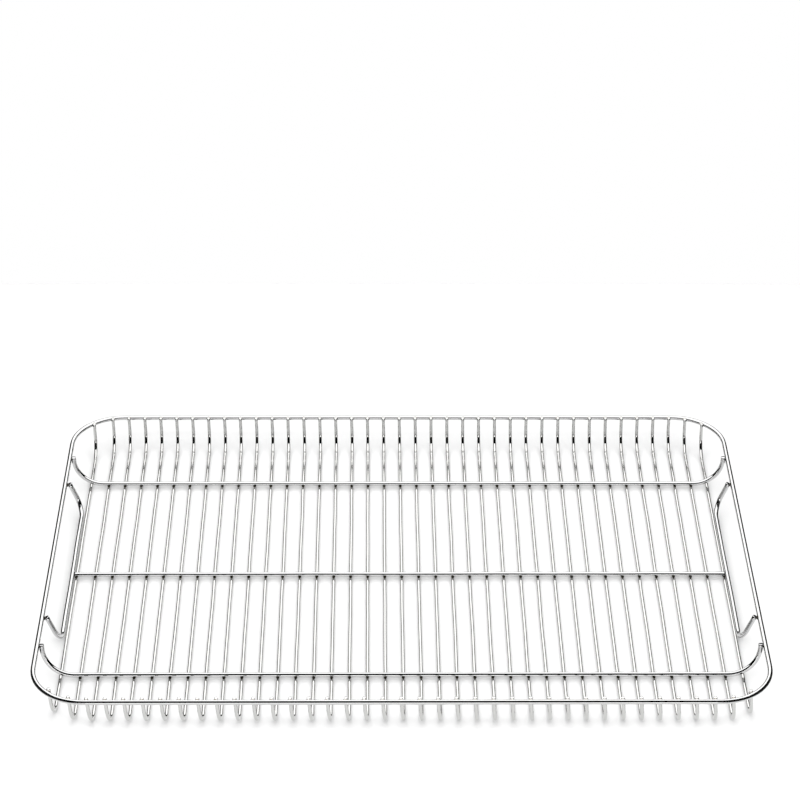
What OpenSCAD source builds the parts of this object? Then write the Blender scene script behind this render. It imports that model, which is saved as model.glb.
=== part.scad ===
// Wire cooling rack: a raised rim of heavy wire, a basket floor of thin wires
// under it, three heavy cross wires and two heavy handle guards at the ends.
// Millimetres. X runs along the rack, Y from front to back, Z up from the table.
// Every wire is a separate round bar, and wires are resistance welded where they
// cross: the joint is a shallow seat, as deep as weld_depth, cut in one of the two.

/* [Rim] */
// Length of the rim over its outside
rim_length = 432; // [300:1:600]
// Width of the rim over its outside
rim_width = 305; // [265:1:400]
// Height of the rack from the table to the top of the rim and of the cut wire ends
rack_height = 23.3; // [22.5:0.1:40]
// Corner radius of the rim, to the middle of its wire
rim_corner = 32; // [22:1:45]
// Diameter of the heavy wire: rim, cross wires and handle guards
heavy_d = 3; // [2.5:0.1:4]

/* [Grid wires] */
// Number of thin wires across the floor
wire_count = 39; // [15:2:45]
// Distance from the outermost thin wire to the run of the handle guard beside it
edge_gap = 2.8; // [2.8:0.1:6]
// Diameter of the thin wire
thin_d = 2.2; // [1.8:0.1:2.4]
// How far the floor of the grid sits to the right of the rim's middle
grid_shift = 1; // [0:0.1:1.2]
// How far their front ends meet the rim to the left of even, and their back ends to the right
grid_turn = 0.7; // [0:0.1:1]
// How far the outermost left wire sits to the left of its even place
left_stray = 1.2; // [0:0.1:1.2]
// Bend radius of the upturned wire ends, to the middle of the wire
bend_r = 12.5; // [10:0.5:17.5]

/* [Cross wires] */
// Distance of the front and the back cross wire from the middle one
cross_spacing = 100.9; // [85:0.1:110]
// How far the three cross wires sit to the front of the rim's middle
cross_shift = 1.4; // [0:0.1:2.4]
// How much further the ends of the front cross wire lean back than those of the back one
front_extra = 2.4; // [0:0.1:3]
// Bend radius of their upturned ends, to the middle of the wire
cross_bend_r = 18.5; // [10:0.5:19]

/* [Handle guards] */
// Distance between the two legs of a guard
guard_span = 142; // [110:0.2:160]
// Bend radius between a guard's run and its legs, to the middle of the wire
guard_bend_r = 10; // [5:0.5:14]
// Distance of a guard's run from the middle of the rim wire, along X
guard_inset = 10.3; // [7:0.1:12]

/* [Joints] */
// Depth of the weld seat where two wires cross
weld_depth = 0.25; // [0.15:0.05:0.4]

/* [Hidden] */
$fn = 48;
heavy_r = heavy_d / 2;
thin_r = thin_d / 2;

// Middle of the rim wire: half length, half width, height
rim_x = rim_length / 2 - heavy_r;
rim_y = rim_width / 2 - heavy_r;
rim_z = rack_height - heavy_r;

// Where the rim's straight sides end and its corners start
corner_x = rim_x - rim_corner;
corner_y = rim_y - rim_corner;

// Heights of the thin wires' floor and of the cross wires that lie on it
floor_z = thin_r;
cross_z = thin_d + heavy_r - weld_depth;

// Distance between the middles of two wires that are welded
thin_to_heavy = thin_r + heavy_r - weld_depth;
heavy_to_heavy = heavy_d - weld_depth;

// The upturned ends lean over the shift of their wires, so they meet the rim evenly
front_lean = atan((grid_shift + grid_turn) / (rim_z - floor_z));
back_lean = atan((grid_shift - grid_turn) / (rim_z - floor_z));
cross_lean = atan(cross_shift / (rim_z - cross_z));
front_cross_lean = atan((cross_shift + front_extra) / (rim_z - cross_z));

// Handle guards: the run lies at the height of the cross wires, and the legs lean
// outward from upright so that they meet the rim's inside
guard_run_x = rim_x - guard_inset;
guard_reach = norm([guard_inset, rim_z - cross_z]);
guard_lean = atan(guard_inset / (rim_z - cross_z)) - asin(heavy_to_heavy / guard_reach);

// Spacing of the thin wires, which fill the floor between the two guards
middle_wire = (wire_count + 1) / 2;
wire_pitch = (guard_run_x - edge_gap) / (middle_wire - 1);

// Position of thin wire i under the rim, along X
function wire_x(i) = (i - middle_wire) * wire_pitch - (i == 1 ? left_stray : 0);

// Distance from the rack's middle to the upturned end of a thin wire that meets the rim
// at x, along Y. The outer wires meet the rim in its corners, so they are shorter.
function wire_reach(x) =
    let (past = max(abs(x) - corner_x, 0), inner = rim_corner - thin_to_heavy)
    hundredth(corner_y + sqrt(inner * inner - past * past));

// A length cut to the hundredth of a millimetre
function hundredth(length) = round(length * 100) / 100;

// Length of a leg that starts at height low and leans, cut so that its end reaches the
// top of the rim
function leg(low, lean, r) = (rack_height - low - r * sin(lean)) / cos(lean);

function wire_name(i) = str("wire_", i < 10 ? "0" : "", i);

// Straight round bar along X, centred on the origin
module bar_x(d, length) {
    translate([-length / 2, 0, 0])
        rotate([0, 90, 0])
            cylinder(d = d, h = length);
}

// Bend from +X to up that starts at the origin, and the leg on it. The cut end is at
// height rise.
module upturned_end(d, bend, rise) {
    translate([0, 0, bend])
        rotate([90, 0, 0])
            rotate([0, 0, -90])
                rotate_extrude(angle = 90)
                    translate([bend, 0])
                        circle(d = d);
    translate([bend, 0, bend])
        cylinder(d = d, h = rise - bend);
}

// Bar with both ends turned up: half is the distance from its middle to an upturned end
module staple(d, half, bend, rise) {
    bar_x(d, 2 * (half - bend));
    for (side = [0, 1])
        mirror([side, 0, 0])
            translate([half - bend, 0, 0])
                upturned_end(d, bend, rise);
}

// The closed ring of the rim
module rim_ring() {
    for (side = [-1, 1]) {
        translate([0, side * rim_y, rim_z])
            bar_x(heavy_d, 2 * corner_x);
        translate([side * rim_x, 0, rim_z])
            rotate([0, 0, 90])
                bar_x(heavy_d, 2 * corner_y);
    }
    for (turn = [0, 1, 2, 3])
        translate([
            (turn == 0 || turn == 3 ? 1 : -1) * corner_x,
            (turn < 2 ? 1 : -1) * corner_y,
            rim_z
        ])
            rotate([0, 0, 90 * turn])
                rotate_extrude(angle = 90)
                    translate([rim_corner, 0])
                        circle(d = heavy_d);
}

// Straight run of a cross wire, as far as it lies on the grid
module cross_run(y) {
    translate([0, y, cross_z])
        bar_x(heavy_d, 2 * (rim_x - heavy_to_heavy - cross_bend_r));
}

// Straight run of the middle cross wire, which ends in the guards
module middle_run() {
    translate([0, -cross_shift, cross_z])
        bar_x(heavy_d, 2 * (guard_run_x - heavy_r + weld_depth));
}

// Front or back cross wire, whose ends lean back
module upturned_cross(y, lean) {
    translate([0, y, cross_z])
        rotate([-lean, 0, 0])
            staple(heavy_d, rim_x - heavy_to_heavy, cross_bend_r, leg(cross_z, lean, heavy_r));
}

// Guard on the side of +X
module guard_bar() {
    translate([guard_run_x, 0, cross_z])
        rotate([0, guard_lean, 0])
            rotate([0, 0, 90])
                staple(heavy_d, guard_span / 2, guard_bend_r, leg(cross_z, guard_lean, heavy_r));
}

module rim() {
    color([0.80, 0.81, 0.82])
        rim_ring();
}

module cross_front() {
    color([0.80, 0.81, 0.82])
        difference() {
            upturned_cross(-cross_spacing - cross_shift, front_cross_lean);
            rim_ring();
        }
}

module cross_middle() {
    color([0.80, 0.81, 0.82])
        difference() {
            middle_run();
            guard_bar();
            mirror([1, 0, 0])
                guard_bar();
        }
}

module cross_back() {
    color([0.80, 0.81, 0.82])
        difference() {
            upturned_cross(cross_spacing - cross_shift, cross_lean);
            rim_ring();
        }
}

module guard_right() {
    color([0.80, 0.81, 0.82])
        difference() {
            guard_bar();
            rim_ring();
        }
}

module guard_left() {
    color([0.80, 0.81, 0.82])
        difference() {
            mirror([1, 0, 0])
                guard_bar();
            rim_ring();
        }
}

// Upturned end of a thin wire, at the back and leaning to the left
module grid_end(lean) {
    rotate([0, 0, 90])
        rotate([-lean, 0, 0])
            upturned_end(thin_d, bend_r, leg(floor_z, lean, thin_r));
}

module grid_bar(i) {
    front = wire_reach(wire_x(i) - grid_turn) - bend_r;
    back = wire_reach(wire_x(i) + grid_turn) - bend_r;
    translate([wire_x(i) + grid_shift, 0, floor_z]) {
        translate([0, (back - front) / 2, 0])
            rotate([0, 0, 90])
                bar_x(thin_d, front + back);
        translate([0, -front, 0])
            mirror([0, 1, 0])
                grid_end(front_lean);
        translate([0, back, 0])
            grid_end(back_lean);
    }
}

// Thin wire number i, counted from the left
module grid_wire(i) {
    color([0.84, 0.85, 0.86])
        difference() {
            grid_bar(i);
            rim_ring();
            cross_run(-cross_spacing - cross_shift);
            middle_run();
            cross_run(cross_spacing - cross_shift);
        }
}

rim();
cross_front();
cross_middle();
cross_back();
guard_left();
guard_right();
for (i = [1 : wire_count])
    grid_wire(i);
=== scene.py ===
import math
import random

import bpy
from mathutils import Matrix, Vector


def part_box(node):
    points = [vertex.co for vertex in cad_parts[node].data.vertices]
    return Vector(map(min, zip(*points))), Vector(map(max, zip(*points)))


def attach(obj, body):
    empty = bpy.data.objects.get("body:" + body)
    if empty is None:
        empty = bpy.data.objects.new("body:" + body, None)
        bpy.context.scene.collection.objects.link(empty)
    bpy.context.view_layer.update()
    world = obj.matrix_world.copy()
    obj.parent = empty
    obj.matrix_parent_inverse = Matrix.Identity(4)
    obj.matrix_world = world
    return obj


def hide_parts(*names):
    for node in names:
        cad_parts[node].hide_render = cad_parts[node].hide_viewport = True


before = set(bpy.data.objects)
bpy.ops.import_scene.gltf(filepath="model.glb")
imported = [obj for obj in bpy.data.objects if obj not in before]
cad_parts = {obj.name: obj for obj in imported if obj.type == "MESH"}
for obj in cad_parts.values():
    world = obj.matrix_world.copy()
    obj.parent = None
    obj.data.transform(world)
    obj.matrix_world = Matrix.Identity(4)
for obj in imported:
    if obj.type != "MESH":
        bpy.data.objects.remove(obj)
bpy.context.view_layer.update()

# Looks of the wire cooling rack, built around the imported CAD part. Metres throughout.
# X runs along the rack, Y from front to back, Z up from the table.

MM = 0.001

# ---------------------------------------------------------------- sizes of the wires
CROSS_WIRES = ["cross_front", "cross_middle", "cross_back"]
GUARDS = ["guard_left", "guard_right"]
GRID = sorted(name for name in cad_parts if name.startswith("wire_"))

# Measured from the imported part
rim_low, rim_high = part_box("rim")
HEAVY_R = (rim_high.z - rim_low.z) / 2
RIM_X = rim_high.x - HEAVY_R
RIM_Y = rim_high.y - HEAVY_R
RIM_Z = rim_high.z - HEAVY_R
middle_low, middle_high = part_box("cross_middle")
CROSS_Z = (middle_low.z + middle_high.z) / 2

# The same as in the part's source
THIN_R = 1.1 * MM
WELD_DEPTH = 0.25 * MM
RIM_CORNER = 32 * MM
CROSS_BEND = 18.5 * MM
GUARD_BEND = 10 * MM
GRID_BEND = 12.5 * MM
GRID_TURN = 0.7 * MM

# ---------------------------------------------------------------- detail of the wires
HEAVY_SIDES = 36
THIN_SIDES = 24
STRAIGHT_STEP = 2.5 * MM
ARC_STEP = math.radians(6)
FEWEST_ARC_STEPS = 4
SAME_POINT = 0.001 * MM

# Waves that put a wire out of true. Each one's height is a share of its length.
WAVES = 5
SHORTEST_WAVE = 25 * MM
LONGEST_WAVE = 110 * MM
CROSS_WAVE = 0.0008
GUARD_WAVE = 0.0006
GRID_WAVE = 0.0007
RISE_SHARE = 0.5
STILL_END = 6 * MM

# Cut ends: the edge is trimmed by a share of the radius, and the face bulges by a share
# of the burr, on a ring inside the edge and in its middle
END_TRIM = 0.06
FACE_RING = 0.6
FACE_RING_RISE = 0.5
FACE_MIDDLE_RISE = 0.3
HEAVY_BURR = 0.1 * MM
THIN_BURR = 0.08 * MM

# Weld beads: half sizes along X, Y and Z, and how far they sit from the wires' meeting point
BEAD_SIDES = 14
BEAD_ROWS = 8
SIDE_BEAD = (0.7 * MM, 1.5 * MM, 1.2 * MM)
SIDE_BEAD_SINK = 0.1 * MM
GUARD_BEAD = (0.7 * MM, 1.8 * MM, 1.25 * MM)
# Grid beads are long in Y and sit forward of the cross wire, so their near black tone paints the
# shade and dark reflection on the thin wire just in front of it
GRID_BEAD = (1.05 * MM, 2.2 * MM, 0.7 * MM)
GRID_BEAD_FORWARD = 0.3 * MM
RIM_BEAD = (1.6 * MM, 1.0 * MM, 0.8 * MM)
RIM_BEAD_OUT = 0.2 * MM
RIM_BEAD_RAISE = 0.6 * MM


def leg_top(low_edge, high_edge, foot, foot_z, top_z, radius):
    """Middle of the cut end of a leg that leans from foot towards high_edge."""
    lean = 0.0
    away = 1 if high_edge > low_edge else -1
    for _ in range(6):
        reach = high_edge - away * radius * math.cos(lean)
        height = top_z - radius * math.sin(lean)
        lean = math.atan2(abs(reach - foot), height - foot_z)
    return reach, height


# ---------------------------------------------------------------- wire shapes
def bend_arc(before, here, after, bend):
    """Points of the round bend that replaces the corner here."""
    back = (before - here).normalized()
    ahead = (after - here).normalized()
    inside = back.angle(ahead) / 2
    cut = bend / math.tan(inside)
    first = here + back * cut
    last = here + ahead * cut
    centre = here + (back + ahead).normalized() * (bend / math.sin(inside))
    sweep = math.pi - 2 * inside
    steps = max(FEWEST_ARC_STEPS, math.ceil(sweep / ARC_STEP))
    axis = (first - centre).cross(last - centre).normalized()
    spoke = first - centre
    return [centre + Matrix.Rotation(sweep * k / steps, 3, axis) @ spoke for k in range(steps + 1)]


def bent_path(corners, bend, closed=False):
    """Points along a wire that runs from corner to corner with round bends between."""
    count = len(corners)
    turns = range(count) if closed else range(1, count - 1)
    arcs = [bend_arc(corners[i - 1], corners[i], corners[(i + 1) % count], bend) for i in turns]
    pieces = arcs if closed else [[corners[0]]] + arcs + [[corners[-1]]]
    points = []
    for k, piece in enumerate(pieces):
        points.extend(piece)
        if k == len(pieces) - 1 and not closed:
            break
        start = piece[-1]
        end = pieces[(k + 1) % len(pieces)][0]
        parts = max(1, round((end - start).length / STRAIGHT_STEP))
        points.extend(start.lerp(end, j / parts) for j in range(1, parts))
    clean = [points[0]]
    for p in points[1:]:
        if (p - clean[-1]).length > SAME_POINT:
            clean.append(p)
    if closed and (clean[0] - clean[-1]).length < SAME_POINT:
        clean.pop()
    return clean


def wavy(points, amount, seed):
    """The same path, out of true by a fraction of a millimetre, but still at its ends."""
    rng = random.Random(seed)
    waves = [
        (
            rng.uniform(SHORTEST_WAVE, LONGEST_WAVE),
            rng.uniform(0, 2 * math.pi),
            rng.uniform(-1, 1),
            rng.uniform(-1, 1),
        )
        for _ in range(WAVES)
    ]
    total = sum((b - a).length for a, b in zip(points, points[1:]))
    along = 0.0
    result = []
    for k, p in enumerate(points):
        if k:
            along += (p - points[k - 1]).length
        before = points[max(k - 1, 0)]
        after = points[min(k + 1, len(points) - 1)]
        tangent = (after - before).normalized()
        side = Vector((1, 0, 0)) if abs(tangent.x) < 0.7 else Vector((0, 1, 0))
        side = (side - tangent * side.dot(tangent)).normalized()
        rise = tangent.cross(side)
        fade = min(1.0, along / STILL_END, (total - along) / STILL_END)
        sway = 0.0
        lift = 0.0
        for length, phase, sway_share, lift_share in waves:
            angle = 2 * math.pi * along / length + phase
            sway += sway_share * math.sin(angle) * length
            lift += lift_share * math.cos(angle) * length
        result.append(p + (side * sway + rise * lift * RISE_SHARE) * amount * fade)
    return result


def mesh_object(name, verts, faces, smooth=True):
    mesh = bpy.data.meshes.new(name)
    mesh.from_pydata([tuple(v) for v in verts], [], faces)
    if smooth:
        mesh.polygons.foreach_set("use_smooth", [True] * len(faces))
    mesh.update()
    obj = bpy.data.objects.new(name, mesh)
    bpy.context.scene.collection.objects.link(obj)
    return obj


def tube(name, points, radius, sides, closed=False, burr=0.0):
    """Round wire along the path, with trimmed ends, a smooth skin and UVs (turn, metres)."""
    count = len(points)
    tangents = []
    for k in range(count):
        before = points[(k - 1) % count] if closed else points[max(k - 1, 0)]
        after = points[(k + 1) % count] if closed else points[min(k + 1, count - 1)]
        tangents.append((after - before).normalized())
    up = Vector((0, 0, 1)) if abs(tangents[0].z) < 0.9 else Vector((0, 1, 0))
    normal = (up - tangents[0] * up.dot(tangents[0])).normalized()
    rings = []
    lengths = []
    along = 0.0
    for k in range(count):
        if k:
            along += (points[k] - points[k - 1]).length
            normal = (normal - tangents[k] * normal.dot(tangents[k])).normalized()
        rings.append((points[k], tangents[k], normal.copy(), radius))
        lengths.append(along)
    if not closed:
        trim = radius * END_TRIM
        ends = []
        for at, way in ((0, -1), (count - 1, 1)):
            p, t, n, r = rings[at]
            ends.append([
                (p - t * way * trim, t, n, r),
                (p, t, n, r - trim),
                (p + t * way * burr * FACE_RING_RISE, t, n, r * FACE_RING),
            ])
        rings = list(reversed(ends[0])) + rings[1:-1] + ends[1]
        lengths = [0.0, 0.0, trim] + lengths[1:-1] + [along - trim, along, along]
    verts = []
    for p, t, n, r in rings:
        other = t.cross(n)
        for s in range(sides):
            a = 2 * math.pi * s / sides
            verts.append(p + (n * math.cos(a) + other * math.sin(a)) * r)
    faces = []
    uvs = []
    last = len(rings) if closed else len(rings) - 1
    for k in range(last):
        nxt = (k + 1) % len(rings)
        v0 = lengths[k]
        v1 = lengths[nxt] if nxt else along + (points[0] - points[-1]).length
        for s in range(sides):
            s1 = (s + 1) % sides
            faces.append((k * sides + s, k * sides + s1, nxt * sides + s1, nxt * sides + s))
            u0, u1 = s / sides, (s + 1) / sides
            uvs.extend([(u0, v0), (u1, v0), (u1, v1), (u0, v1)])
    if not closed:
        for at, way in ((0, -1), (len(rings) - 1, 1)):
            p, t, n, r = rings[at]
            tip = len(verts)
            verts.append(p + t * way * burr * FACE_MIDDLE_RISE)
            for s in range(sides):
                here = at * sides + s
                beside = at * sides + (s + 1) % sides
                faces.append((tip, here, beside) if way > 0 else (tip, beside, here))
                v = lengths[at]
                uvs.extend([(0.5, v), (0.4, v), (0.6, v)])
    obj = mesh_object(name, verts, faces)
    layer = obj.data.uv_layers.new(name="along")
    layer.data.foreach_set("uv", [c for uv in uvs for c in uv])
    return obj


def beads(name, spots):
    """Small rounded weld beads in one mesh. A spot is its middle and its three half sizes."""
    verts = []
    faces = []
    for middle, half in spots:
        base = len(verts)
        verts.append(middle + Vector((0, 0, half[2])))
        for j in range(1, BEAD_ROWS):
            polar = math.pi * j / BEAD_ROWS
            for s in range(BEAD_SIDES):
                a = 2 * math.pi * s / BEAD_SIDES
                verts.append(middle + Vector((
                    half[0] * math.sin(polar) * math.cos(a),
                    half[1] * math.sin(polar) * math.sin(a),
                    half[2] * math.cos(polar),
                )))
        verts.append(middle - Vector((0, 0, half[2])))
        end = len(verts) - 1
        last_row = base + 1 + (BEAD_ROWS - 2) * BEAD_SIDES
        for s in range(BEAD_SIDES):
            s1 = (s + 1) % BEAD_SIDES
            faces.append((base, base + 1 + s, base + 1 + s1))
            for j in range(BEAD_ROWS - 2):
                row = base + 1 + j * BEAD_SIDES
                faces.append((row + s, row + BEAD_SIDES + s, row + BEAD_SIDES + s1, row + s1))
            faces.append((last_row + s, end, last_row + s1))
    return mesh_object(name, verts, faces)


# ---------------------------------------------------------------- finishes
POLISH_PATCHES = (6, 90, 1)
DRAWN_LINES = (22, 60, 1)
DRAWN_DEPTH = 0.0012 * MM
WELD_GRAIN = 900
WELD_SHADE = (0.62, 0.56, 0.48)


def metal(name, rough):
    material = bpy.data.materials.new(name)
    material.use_nodes = True
    nodes = material.node_tree.nodes
    shader = nodes["Principled BSDF"]
    shader.inputs["Metallic"].default_value = 1
    shader.inputs["Roughness"].default_value = rough
    return material, nodes, material.node_tree.links, shader


def stretched_noise(nodes, links, coords, scale, detail):
    """Noise on a wire's UVs. The scale counts features round the wire and per metre of it."""
    stretch = nodes.new("ShaderNodeMapping")
    stretch.inputs["Scale"].default_value = scale
    links.new(coords.outputs["UV"], stretch.inputs["Vector"])
    noise = nodes.new("ShaderNodeTexNoise")
    noise.inputs["Scale"].default_value = 1.0
    noise.inputs["Detail"].default_value = detail
    links.new(stretch.outputs["Vector"], noise.inputs["Vector"])
    return noise


def steel(name, tone, rough, streak):
    """Bright drawn steel: fine lines along the wire, and a slightly uneven polish."""
    material, nodes, links, shader = metal(name, rough)
    shader.inputs["Base Color"].default_value = (*tone, 1)
    coords = nodes.new("ShaderNodeUVMap")
    coords.uv_map = "along"
    patches = stretched_noise(nodes, links, coords, POLISH_PATCHES, 3)
    spread = nodes.new("ShaderNodeMapRange")
    spread.inputs["From Min"].default_value = 0.3
    spread.inputs["From Max"].default_value = 0.7
    spread.inputs["To Min"].default_value = rough * (1 - streak)
    spread.inputs["To Max"].default_value = rough * (1 + streak)
    links.new(patches.outputs["Fac"], spread.inputs["Value"])
    links.new(spread.outputs["Result"], shader.inputs["Roughness"])
    drawn = stretched_noise(nodes, links, coords, DRAWN_LINES, 2)
    relief = nodes.new("ShaderNodeBump")
    relief.inputs["Strength"].default_value = 1
    relief.inputs["Distance"].default_value = DRAWN_DEPTH
    links.new(drawn.outputs["Fac"], relief.inputs["Height"])
    links.new(relief.outputs["Normal"], shader.inputs["Normal"])
    return material


def weld_steel(name, tone, rough):
    """Melted steel of the weld beads, with a grain that is darker and warmer in places."""
    material, nodes, links, shader = metal(name, rough)
    coords = nodes.new("ShaderNodeTexCoord")
    grain = nodes.new("ShaderNodeTexNoise")
    grain.inputs["Scale"].default_value = WELD_GRAIN
    grain.inputs["Detail"].default_value = 3
    links.new(coords.outputs["Object"], grain.inputs["Vector"])
    ramp = nodes.new("ShaderNodeValToRGB")
    shaded, plain_tone = ramp.color_ramp.elements
    shaded.position = 0.35
    shaded.color = (*(t * shade for t, shade in zip(tone, WELD_SHADE)), 1)
    plain_tone.position = 0.65
    plain_tone.color = (*tone, 1)
    links.new(grain.outputs["Fac"], ramp.inputs["Fac"])
    links.new(ramp.outputs["Color"], shader.inputs["Base Color"])
    return material


HEAVY_STEEL = steel("heavy_steel", (0.57, 0.57, 0.57), rough=0.045, streak=0.4)
THIN_STEEL = steel("thin_steel", (0.59, 0.59, 0.58), rough=0.05, streak=0.5)
# Near black tone of the dark beads: partly the welds' heat tint, partly painted shade and painted
# reflection for the dark spots on the thin wires in front of the cross wires
WELD_TINT_AND_PAINTED_SHADE = weld_steel("weld_steel", (0.05, 0.046, 0.035), rough=0.2)
BRIGHT_WELD = weld_steel("bright_weld", (0.6, 0.6, 0.59), rough=0.12)


def place(obj, material, node=None):
    obj.data.materials.append(material)
    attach(obj, "root")
    if node:
        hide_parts(node)


def place_heavy(name, corners, bend, wave):
    """Heavy wire with cut ends, in the place of the node of that name."""
    path = wavy(bent_path(corners, bend), wave, name)
    wire = tube(name + "_wire", path, HEAVY_R, HEAVY_SIDES, burr=HEAVY_BURR)
    place(wire, HEAVY_STEEL, name)


# ---------------------------------------------------------------- the wires
rim_corners = [
    Vector((x * RIM_X, y * RIM_Y, RIM_Z))
    for x, y in ((1, -1), (1, 1), (-1, 1), (-1, -1))
]
rim_path = bent_path(rim_corners, RIM_CORNER, closed=True)
rim_wire = tube("rim_wire", rim_path, HEAVY_R, HEAVY_SIDES, closed=True)
place(rim_wire, HEAVY_STEEL, "rim")

# Beads inside the basket, near black partly for a heat tint and partly as painted shade, and
# bright ones on the rim where the thin wires meet it
welds = []
rim_welds = []

# Middle of the beads on the inside of the rim's short sides
SIDE_BEAD_X = RIM_X - HEAVY_R + SIDE_BEAD_SINK

cross_rows = []
for name in CROSS_WIRES:
    low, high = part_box(name)
    y = low.y + HEAVY_R
    cross_rows.append(y)
    if name == "cross_middle":
        corners = [
            Vector((low.x - WELD_DEPTH, y, CROSS_Z)),
            Vector((high.x + WELD_DEPTH, y, CROSS_Z)),
        ]
    else:
        left, right = low.x + HEAVY_R, high.x - HEAVY_R
        top_y, top_z = leg_top(low.y, high.y, y, CROSS_Z, high.z, HEAVY_R)
        corners = [
            Vector((left, top_y, top_z)),
            Vector((left, y, CROSS_Z)),
            Vector((right, y, CROSS_Z)),
            Vector((right, top_y, top_z)),
        ]
        for side in (-1, 1):
            welds.append((Vector((side * SIDE_BEAD_X, top_y, RIM_Z)), SIDE_BEAD))
    place_heavy(name, corners, CROSS_BEND, CROSS_WAVE)

for name in GUARDS:
    low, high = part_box(name)
    outward = -1 if name == "guard_left" else 1
    inner_x, outer_x = (high.x, low.x) if outward < 0 else (low.x, high.x)
    run_x = inner_x + outward * HEAVY_R
    run_z = low.z + HEAVY_R
    top_x, top_z = leg_top(inner_x, outer_x, run_x, run_z, high.z, HEAVY_R)
    front, back = low.y + HEAVY_R, high.y - HEAVY_R
    corners = [
        Vector((top_x, front, top_z)),
        Vector((run_x, front, run_z)),
        Vector((run_x, back, run_z)),
        Vector((top_x, back, top_z)),
    ]
    place_heavy(name, corners, GUARD_BEND, GUARD_WAVE)
    for y in (front, back):
        welds.append((Vector((outward * SIDE_BEAD_X, y, RIM_Z)), SIDE_BEAD))
    welds.append((Vector((run_x - outward * HEAVY_R, cross_rows[1], CROSS_Z)), GUARD_BEAD))

# Half the length over which the front and the back cross wire lie on the thin wires
CROSS_REACH = RIM_X - HEAVY_R - CROSS_BEND

for name in GRID:
    low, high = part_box(name)
    floor_x = high.x - THIN_R
    floor_z = low.z + THIN_R
    front, back = low.y + THIN_R, high.y - THIN_R
    front_x, top_z = leg_top(high.x, low.x, floor_x, floor_z, high.z, THIN_R)
    back_x = front_x + 2 * GRID_TURN
    corners = [
        Vector((front_x, front, top_z)),
        Vector((floor_x, front, floor_z)),
        Vector((floor_x, back, floor_z)),
        Vector((back_x, back, top_z)),
    ]
    path = wavy(bent_path(corners, GRID_BEND), GRID_WAVE, name)
    wire = tube(name + "_bar", path, THIN_R, THIN_SIDES, burr=THIN_BURR)
    place(wire, THIN_STEEL, name)
    for cross, y in zip(CROSS_WIRES, cross_rows):
        if cross == "cross_middle" or abs(floor_x) <= CROSS_REACH:
            welds.append((Vector((floor_x, y - GRID_BEAD_FORWARD, 2 * THIN_R)), GRID_BEAD))
    for top_x, y, way in ((front_x, front, -1), (back_x, back, 1)):
        at_rim = Vector((top_x, y + way * (THIN_R + RIM_BEAD_OUT), RIM_Z + RIM_BEAD_RAISE))
        rim_welds.append((at_rim, RIM_BEAD))

place(beads("weld_beads", welds), WELD_TINT_AND_PAINTED_SHADE)
place(beads("rim_weld_beads", rim_welds), BRIGHT_WELD)


# ---------------------------------------------------------------- floor
# A pale sheet of limited size. Behind it the picture shows the white of the world.
FLOOR_SIDE = 0.6
FLOOR_FRONT = -0.75
FLOOR_BACK = 0.37
FLOOR_DROP = 0.02 * MM
FLOOR_TONE = 0.62

floor_corners = [
    (-FLOOR_SIDE, FLOOR_FRONT, 0),
    (FLOOR_SIDE, FLOOR_FRONT, 0),
    (FLOOR_SIDE, FLOOR_BACK, 0),
    (-FLOOR_SIDE, FLOOR_BACK, 0),
]
floor = mesh_object("floor", floor_corners, [(0, 1, 2, 3)], smooth=False)
floor.location.z = -FLOOR_DROP
paper = bpy.data.materials.new("paper")
paper.use_nodes = True
paper_shader = paper.node_tree.nodes["Principled BSDF"]
paper_shader.inputs["Base Color"].default_value = (FLOOR_TONE, FLOOR_TONE, FLOOR_TONE, 1)
paper_shader.inputs["Roughness"].default_value = 0.9
paper_shader.inputs["Specular IOR Level"].default_value = 0
floor.data.materials.append(paper)


# ---------------------------------------------------------------- light
BOX_HEIGHT = 0.40
BOX_FRONT = -0.12
BOX_BACK = 0.95
BOX_WIDTH = 0.9
CARD_HEIGHT = 0.2
FLAG_FRONT = -0.6
FLAG_BACK = 0.7
FLAG_TOP = 0.05
FLAG_X = 0.24
ROOM_IN_STEEL = (0.004, 0.004, 0.004, 1)
ROOM_SEEN = (1, 1, 1, 1)


def softbox(name, middle, width, depth, radiance, tilt=0.0, glossy=True):
    """Flat light that faces down, tilted about X. Its power follows from the radiance."""
    light = bpy.data.lights.new(name, "AREA")
    light.shape = "RECTANGLE"
    light.size = width
    light.size_y = depth
    light.energy = radiance * math.pi * width * depth
    obj = bpy.data.objects.new(name, light)
    obj.location = middle
    obj.rotation_euler = (tilt, 0, 0)
    obj.visible_camera = False
    obj.visible_glossy = glossy
    bpy.context.scene.collection.objects.link(obj)


# The box over the rack gives the steel its white top lines
box_middle = (0, (BOX_FRONT + BOX_BACK) / 2, BOX_HEIGHT)
softbox("overhead", box_middle, BOX_WIDTH, BOX_BACK - BOX_FRONT, radiance=2.0)

# The fills light the floor and don't show in the steel
softbox("front_fill", (0, -0.75, 0.6), 2.4, 1.1, radiance=3.0, glossy=False)
for side, name in ((-1, "end_fill_left"), (1, "end_fill_right")):
    softbox(name, (side * 0.55, 0, 0.25), 0.3, 1.0, radiance=1.3, glossy=False)

# Upright card that stands on the floor in front of the rack and lights the front bends
card_middle = (0, -1.0, CARD_HEIGHT / 2)
softbox("front_card", card_middle, 3.0, CARD_HEIGHT, radiance=2.4, tilt=math.radians(90))

BLACK = bpy.data.materials.new("black_card")
BLACK.use_nodes = True
black_shader = BLACK.node_tree.nodes["Principled BSDF"]
black_shader.inputs["Base Color"].default_value = (0.01, 0.01, 0.01, 1)
black_shader.inputs["Roughness"].default_value = 1


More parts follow.
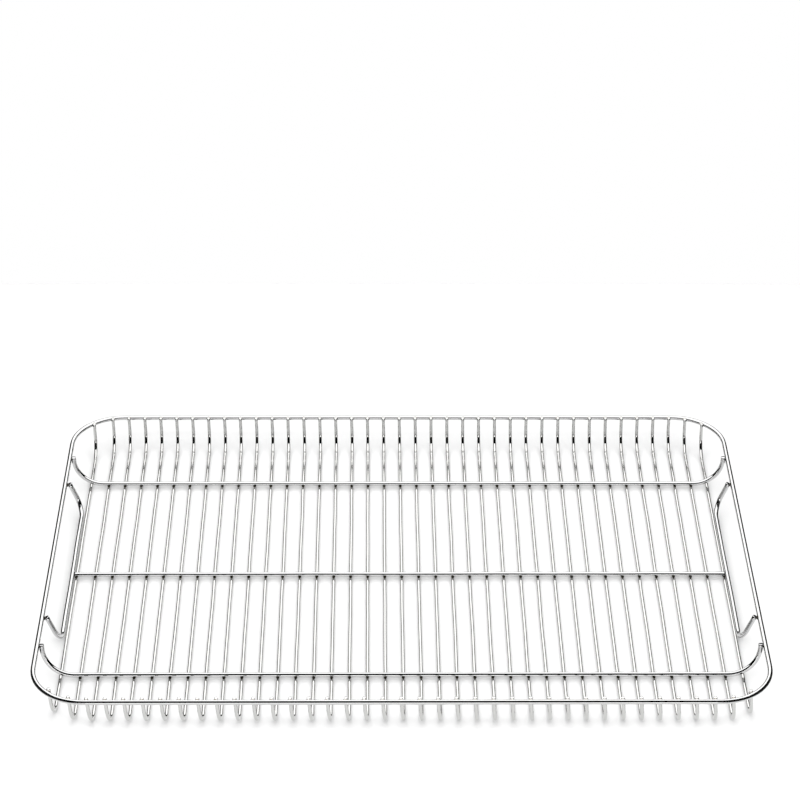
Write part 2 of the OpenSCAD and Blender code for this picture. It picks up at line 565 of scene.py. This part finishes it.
def flag(name, x):
    """Black card beside the rack. It only shows in the steel."""
    card_corners = [
        (x, FLAG_FRONT, 0),
        (x, FLAG_BACK, 0),
        (x, FLAG_BACK, FLAG_TOP),
        (x, FLAG_FRONT, FLAG_TOP),
    ]
    card = mesh_object(name, card_corners, [(0, 1, 2, 3)], smooth=False)
    card.data.materials.append(BLACK)
    card.visible_camera = False
    card.visible_diffuse = False
    card.visible_shadow = False


flag("flag_left", -FLAG_X)
flag("flag_right", FLAG_X)

world = bpy.data.worlds.new("room")
bpy.context.scene.world = world
world.use_nodes = True
nodes = world.node_tree.nodes
links = world.node_tree.links
background = nodes["Background"]
background.inputs["Strength"].default_value = 1
rays = nodes.new("ShaderNodeLightPath")
mix = nodes.new("ShaderNodeMix")
mix.data_type = "RGBA"
mix.inputs["A"].default_value = ROOM_IN_STEEL
mix.inputs["B"].default_value = ROOM_SEEN
links.new(rays.outputs["Is Camera Ray"], mix.inputs["Factor"])
links.new(mix.outputs["Result"], background.inputs["Color"])

bpy.context.scene.view_settings.view_transform = "Standard"
bpy.context.scene.view_settings.look = "None"


# ---------------------------------------------------------------- camera
CAMERA_DISTANCE = 1.8308
CAMERA_DIP = math.radians(32.202)
CAMERA_TURN = math.radians(0.6947)
CAMERA_ROLL = math.radians(0.3612)
CAMERA_LENS = 119.37
SENSOR_WIDTH = 36
CLIP_END = 50
CAMERA_AIM = Vector((1.78 * MM, 206.2 * MM, 1.1 * MM))

forward = Vector((
    math.sin(CAMERA_TURN) * math.cos(CAMERA_DIP),
    math.cos(CAMERA_TURN) * math.cos(CAMERA_DIP),
    -math.sin(CAMERA_DIP),
))
level = Vector((math.cos(CAMERA_TURN), -math.sin(CAMERA_TURN), 0))
upright = level.cross(forward)
right = level * math.cos(CAMERA_ROLL) + upright * math.sin(CAMERA_ROLL)
upward = upright * math.cos(CAMERA_ROLL) - level * math.sin(CAMERA_ROLL)
camera_data = bpy.data.cameras.new("camera")
camera_data.lens = CAMERA_LENS
camera_data.sensor_width = SENSOR_WIDTH
camera_data.clip_end = CLIP_END
camera = bpy.data.objects.new("camera", camera_data)
bpy.context.scene.collection.objects.link(camera)
turn = Matrix((right, upward, -forward)).transposed().to_4x4()
camera.matrix_world = Matrix.Translation(CAMERA_AIM - forward * CAMERA_DISTANCE) @ turn
bpy.context.scene.camera = camera
